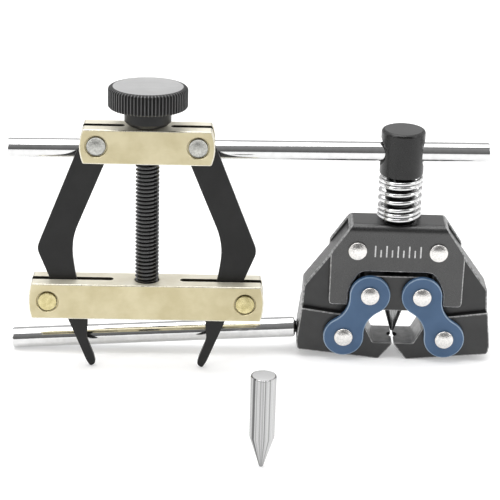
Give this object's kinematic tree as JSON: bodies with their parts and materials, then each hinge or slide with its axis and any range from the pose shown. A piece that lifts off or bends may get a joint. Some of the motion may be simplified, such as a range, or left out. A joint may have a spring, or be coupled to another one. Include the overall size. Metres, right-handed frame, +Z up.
{
  "type": "chain tool",
  "caption": "Chain tool set: a spring-loaded chain breaker with swinging jaws and a cross bar, a two-armed chain puller standing in front of it, and a loose spare punch.",
  "frame": {"origin": "middle of the set's footprint, on the surface that it stands on", "axes": "+X along the tommy bar's long side to the right, +Y away from the front, +Z up"},
  "size_m": [0.1974, 0.12, 0.1181],
  "materials": {
    "black_oxide": "satin black oxide on forged steel",
    "dark_screw": "dark oiled black oxide on turned steel",
    "black_plate": "satin black plating",
    "blue_link": "steel blue heat-treated plate",
    "bright_pin": "bright nickel-plated domed heads",
    "bright_steel": "bright plated steel bar",
    "punch_steel": "ground tool steel",
    "yellow_zinc": "pale yellow zinc plating",
    "brass_pin": "bright brass"
  },
  "bodies": {
    "yoke": {"yoke": "black_oxide", "jaw_pivot_pin_left": "bright_pin", "jaw_pivot_pin_right": "bright_pin", "return_spring": "bright_steel"},
    "block": {"pusher_block": "black_oxide", "upper_link_pin_left": "bright_pin", "upper_link_pin_right": "bright_pin"},
    "punch": {"punch": "punch_steel"},
    "screw": {"main_screw": "dark_screw"},
    "tommy_bar": {"tommy_bar": "bright_steel"},
    "jaw_left": {"jaw_left": "black_oxide", "holding_bar": "bright_steel"},
    "jaw_right": {"jaw_right": "black_oxide"},
    "link_left": {"link_front_left": "blue_link", "link_back_left": "blue_link", "lower_link_pin_left": "bright_pin"},
    "link_right": {"link_front_right": "blue_link", "link_back_right": "blue_link", "lower_link_pin_right": "bright_pin"},
    "puller": {"puller_upper_block": "yellow_zinc", "puller_upper_rivet_left": "bright_pin", "puller_upper_rivet_right": "bright_pin"},
    "puller_screw": {"puller_screw": "dark_screw", "puller_knob": "black_plate", "puller_retaining_ring": "bright_steel"},
    "puller_lower_block": {"puller_lower_block": "yellow_zinc", "puller_lower_pin_left": "brass_pin", "puller_lower_pin_right": "brass_pin"},
    "puller_arm_left": {"puller_arm_left": "black_plate"},
    "puller_arm_right": {"puller_arm_right": "black_plate"},
    "spare_punch": {"spare_punch": "punch_steel"}
  },
  "joints": [
    {"name": "plunge", "type": "slide", "parent": "yoke", "child": "block", "axis": [0, 0, 1], "range_m": [-0.004, 0], "stiffness_N_per_m": 5000, "springref_m": 0.004, "deforming": ["return_spring"]},
    {"name": "screw_feed", "type": "slide", "parent": "block", "child": "punch", "axis": [0, 0, 1], "range_m": [-0.0017, 0]},
    {"name": "screw_turn", "type": "hinge", "parent": "punch", "child": "screw", "pos_m": [0.05882, 0.04707, 0.03], "axis": [0, 0, 1], "range_deg": [-330, 0]},
    {"name": "bar_slide", "type": "slide", "parent": "screw", "child": "tommy_bar", "axis": [0.9986, 0.0523, 0], "range_m": [-0.02, 0.124]},
    {"name": "jaw_left_swing", "type": "hinge", "parent": "yoke", "child": "jaw_left", "pos_m": [0.04242, 0.04707, 0.048], "axis": [0, 1, 0], "range_deg": [0, 10.5]},
    {"name": "jaw_right_swing", "type": "hinge", "parent": "yoke", "child": "jaw_right", "pos_m": [0.07522, 0.04707, 0.048], "axis": [0, 1, 0], "range_deg": [-10.5, 0]},
    {"name": "link_left_swing", "type": "hinge", "parent": "block", "child": "link_left", "pos_m": [0.04822, 0.04707, 0.0294], "axis": [0, 1, 0], "range_deg": [0, 23]},
    {"name": "link_right_swing", "type": "hinge", "parent": "block", "child": "link_right", "pos_m": [0.06942, 0.04707, 0.0294], "axis": [0, 1, 0], "range_deg": [-23, 0]},
    {"name": "puller_away", "type": "slide", "parent": "yoke", "child": "puller", "axis": [-0.5, -0.866, 0], "range_m": [0, 0.15]},
    {"name": "knob_turn", "type": "hinge", "parent": "puller", "child": "puller_screw", "pos_m": [-0.04218, 0.02567, 0.00006], "axis": [-0.0011, 0.0436, 0.999], "range_deg": [-4500, 0]},
    {"name": "lower_block_rise", "type": "slide", "parent": "puller", "child": "puller_lower_block", "axis": [-0.0011, 0.0436, 0.999], "range_m": [0, 0.0201]},
    {"name": "puller_arm_left_swing", "type": "hinge", "parent": "puller", "child": "puller_arm_left", "pos_m": [-0.06209, 0.02929, 0.09487], "axis": [-0.0262, 0.9987, -0.0436], "range_deg": [-11.7, 0]},
    {"name": "puller_arm_right_swing", "type": "hinge", "parent": "puller", "child": "puller_arm_right", "pos_m": [-0.0225, 0.03033, 0.09487], "axis": [-0.0262, 0.9987, -0.0436], "range_deg": [0, 11.7]},
    {"name": "spare_lift", "type": "slide", "parent": "yoke", "child": "spare_punch", "axis": [0, 0, 1], "range_m": [0, 0.06]}
  ],
  "couplings": [
    {"joint": "screw_feed", "follows": "screw_turn", "m_per_rad": 0.00027852},
    {"joint": "jaw_left_swing", "follows": "plunge", "rad_per_m": -43.447},
    {"joint": "jaw_right_swing", "follows": "plunge", "rad_per_m": 43.447},
    {"joint": "link_left_swing", "follows": "plunge", "rad_per_m": -98.523},
    {"joint": "link_right_swing", "follows": "plunge", "rad_per_m": 98.523},
    {"joint": "lower_block_rise", "follows": "knob_turn", "m_per_rad": -0.00025266},
    {"joint": "puller_arm_left_swing", "follows": "knob_turn", "ratio": 0.0025573},
    {"joint": "puller_arm_right_swing", "follows": "knob_turn", "ratio": -0.0025573}
  ]
}
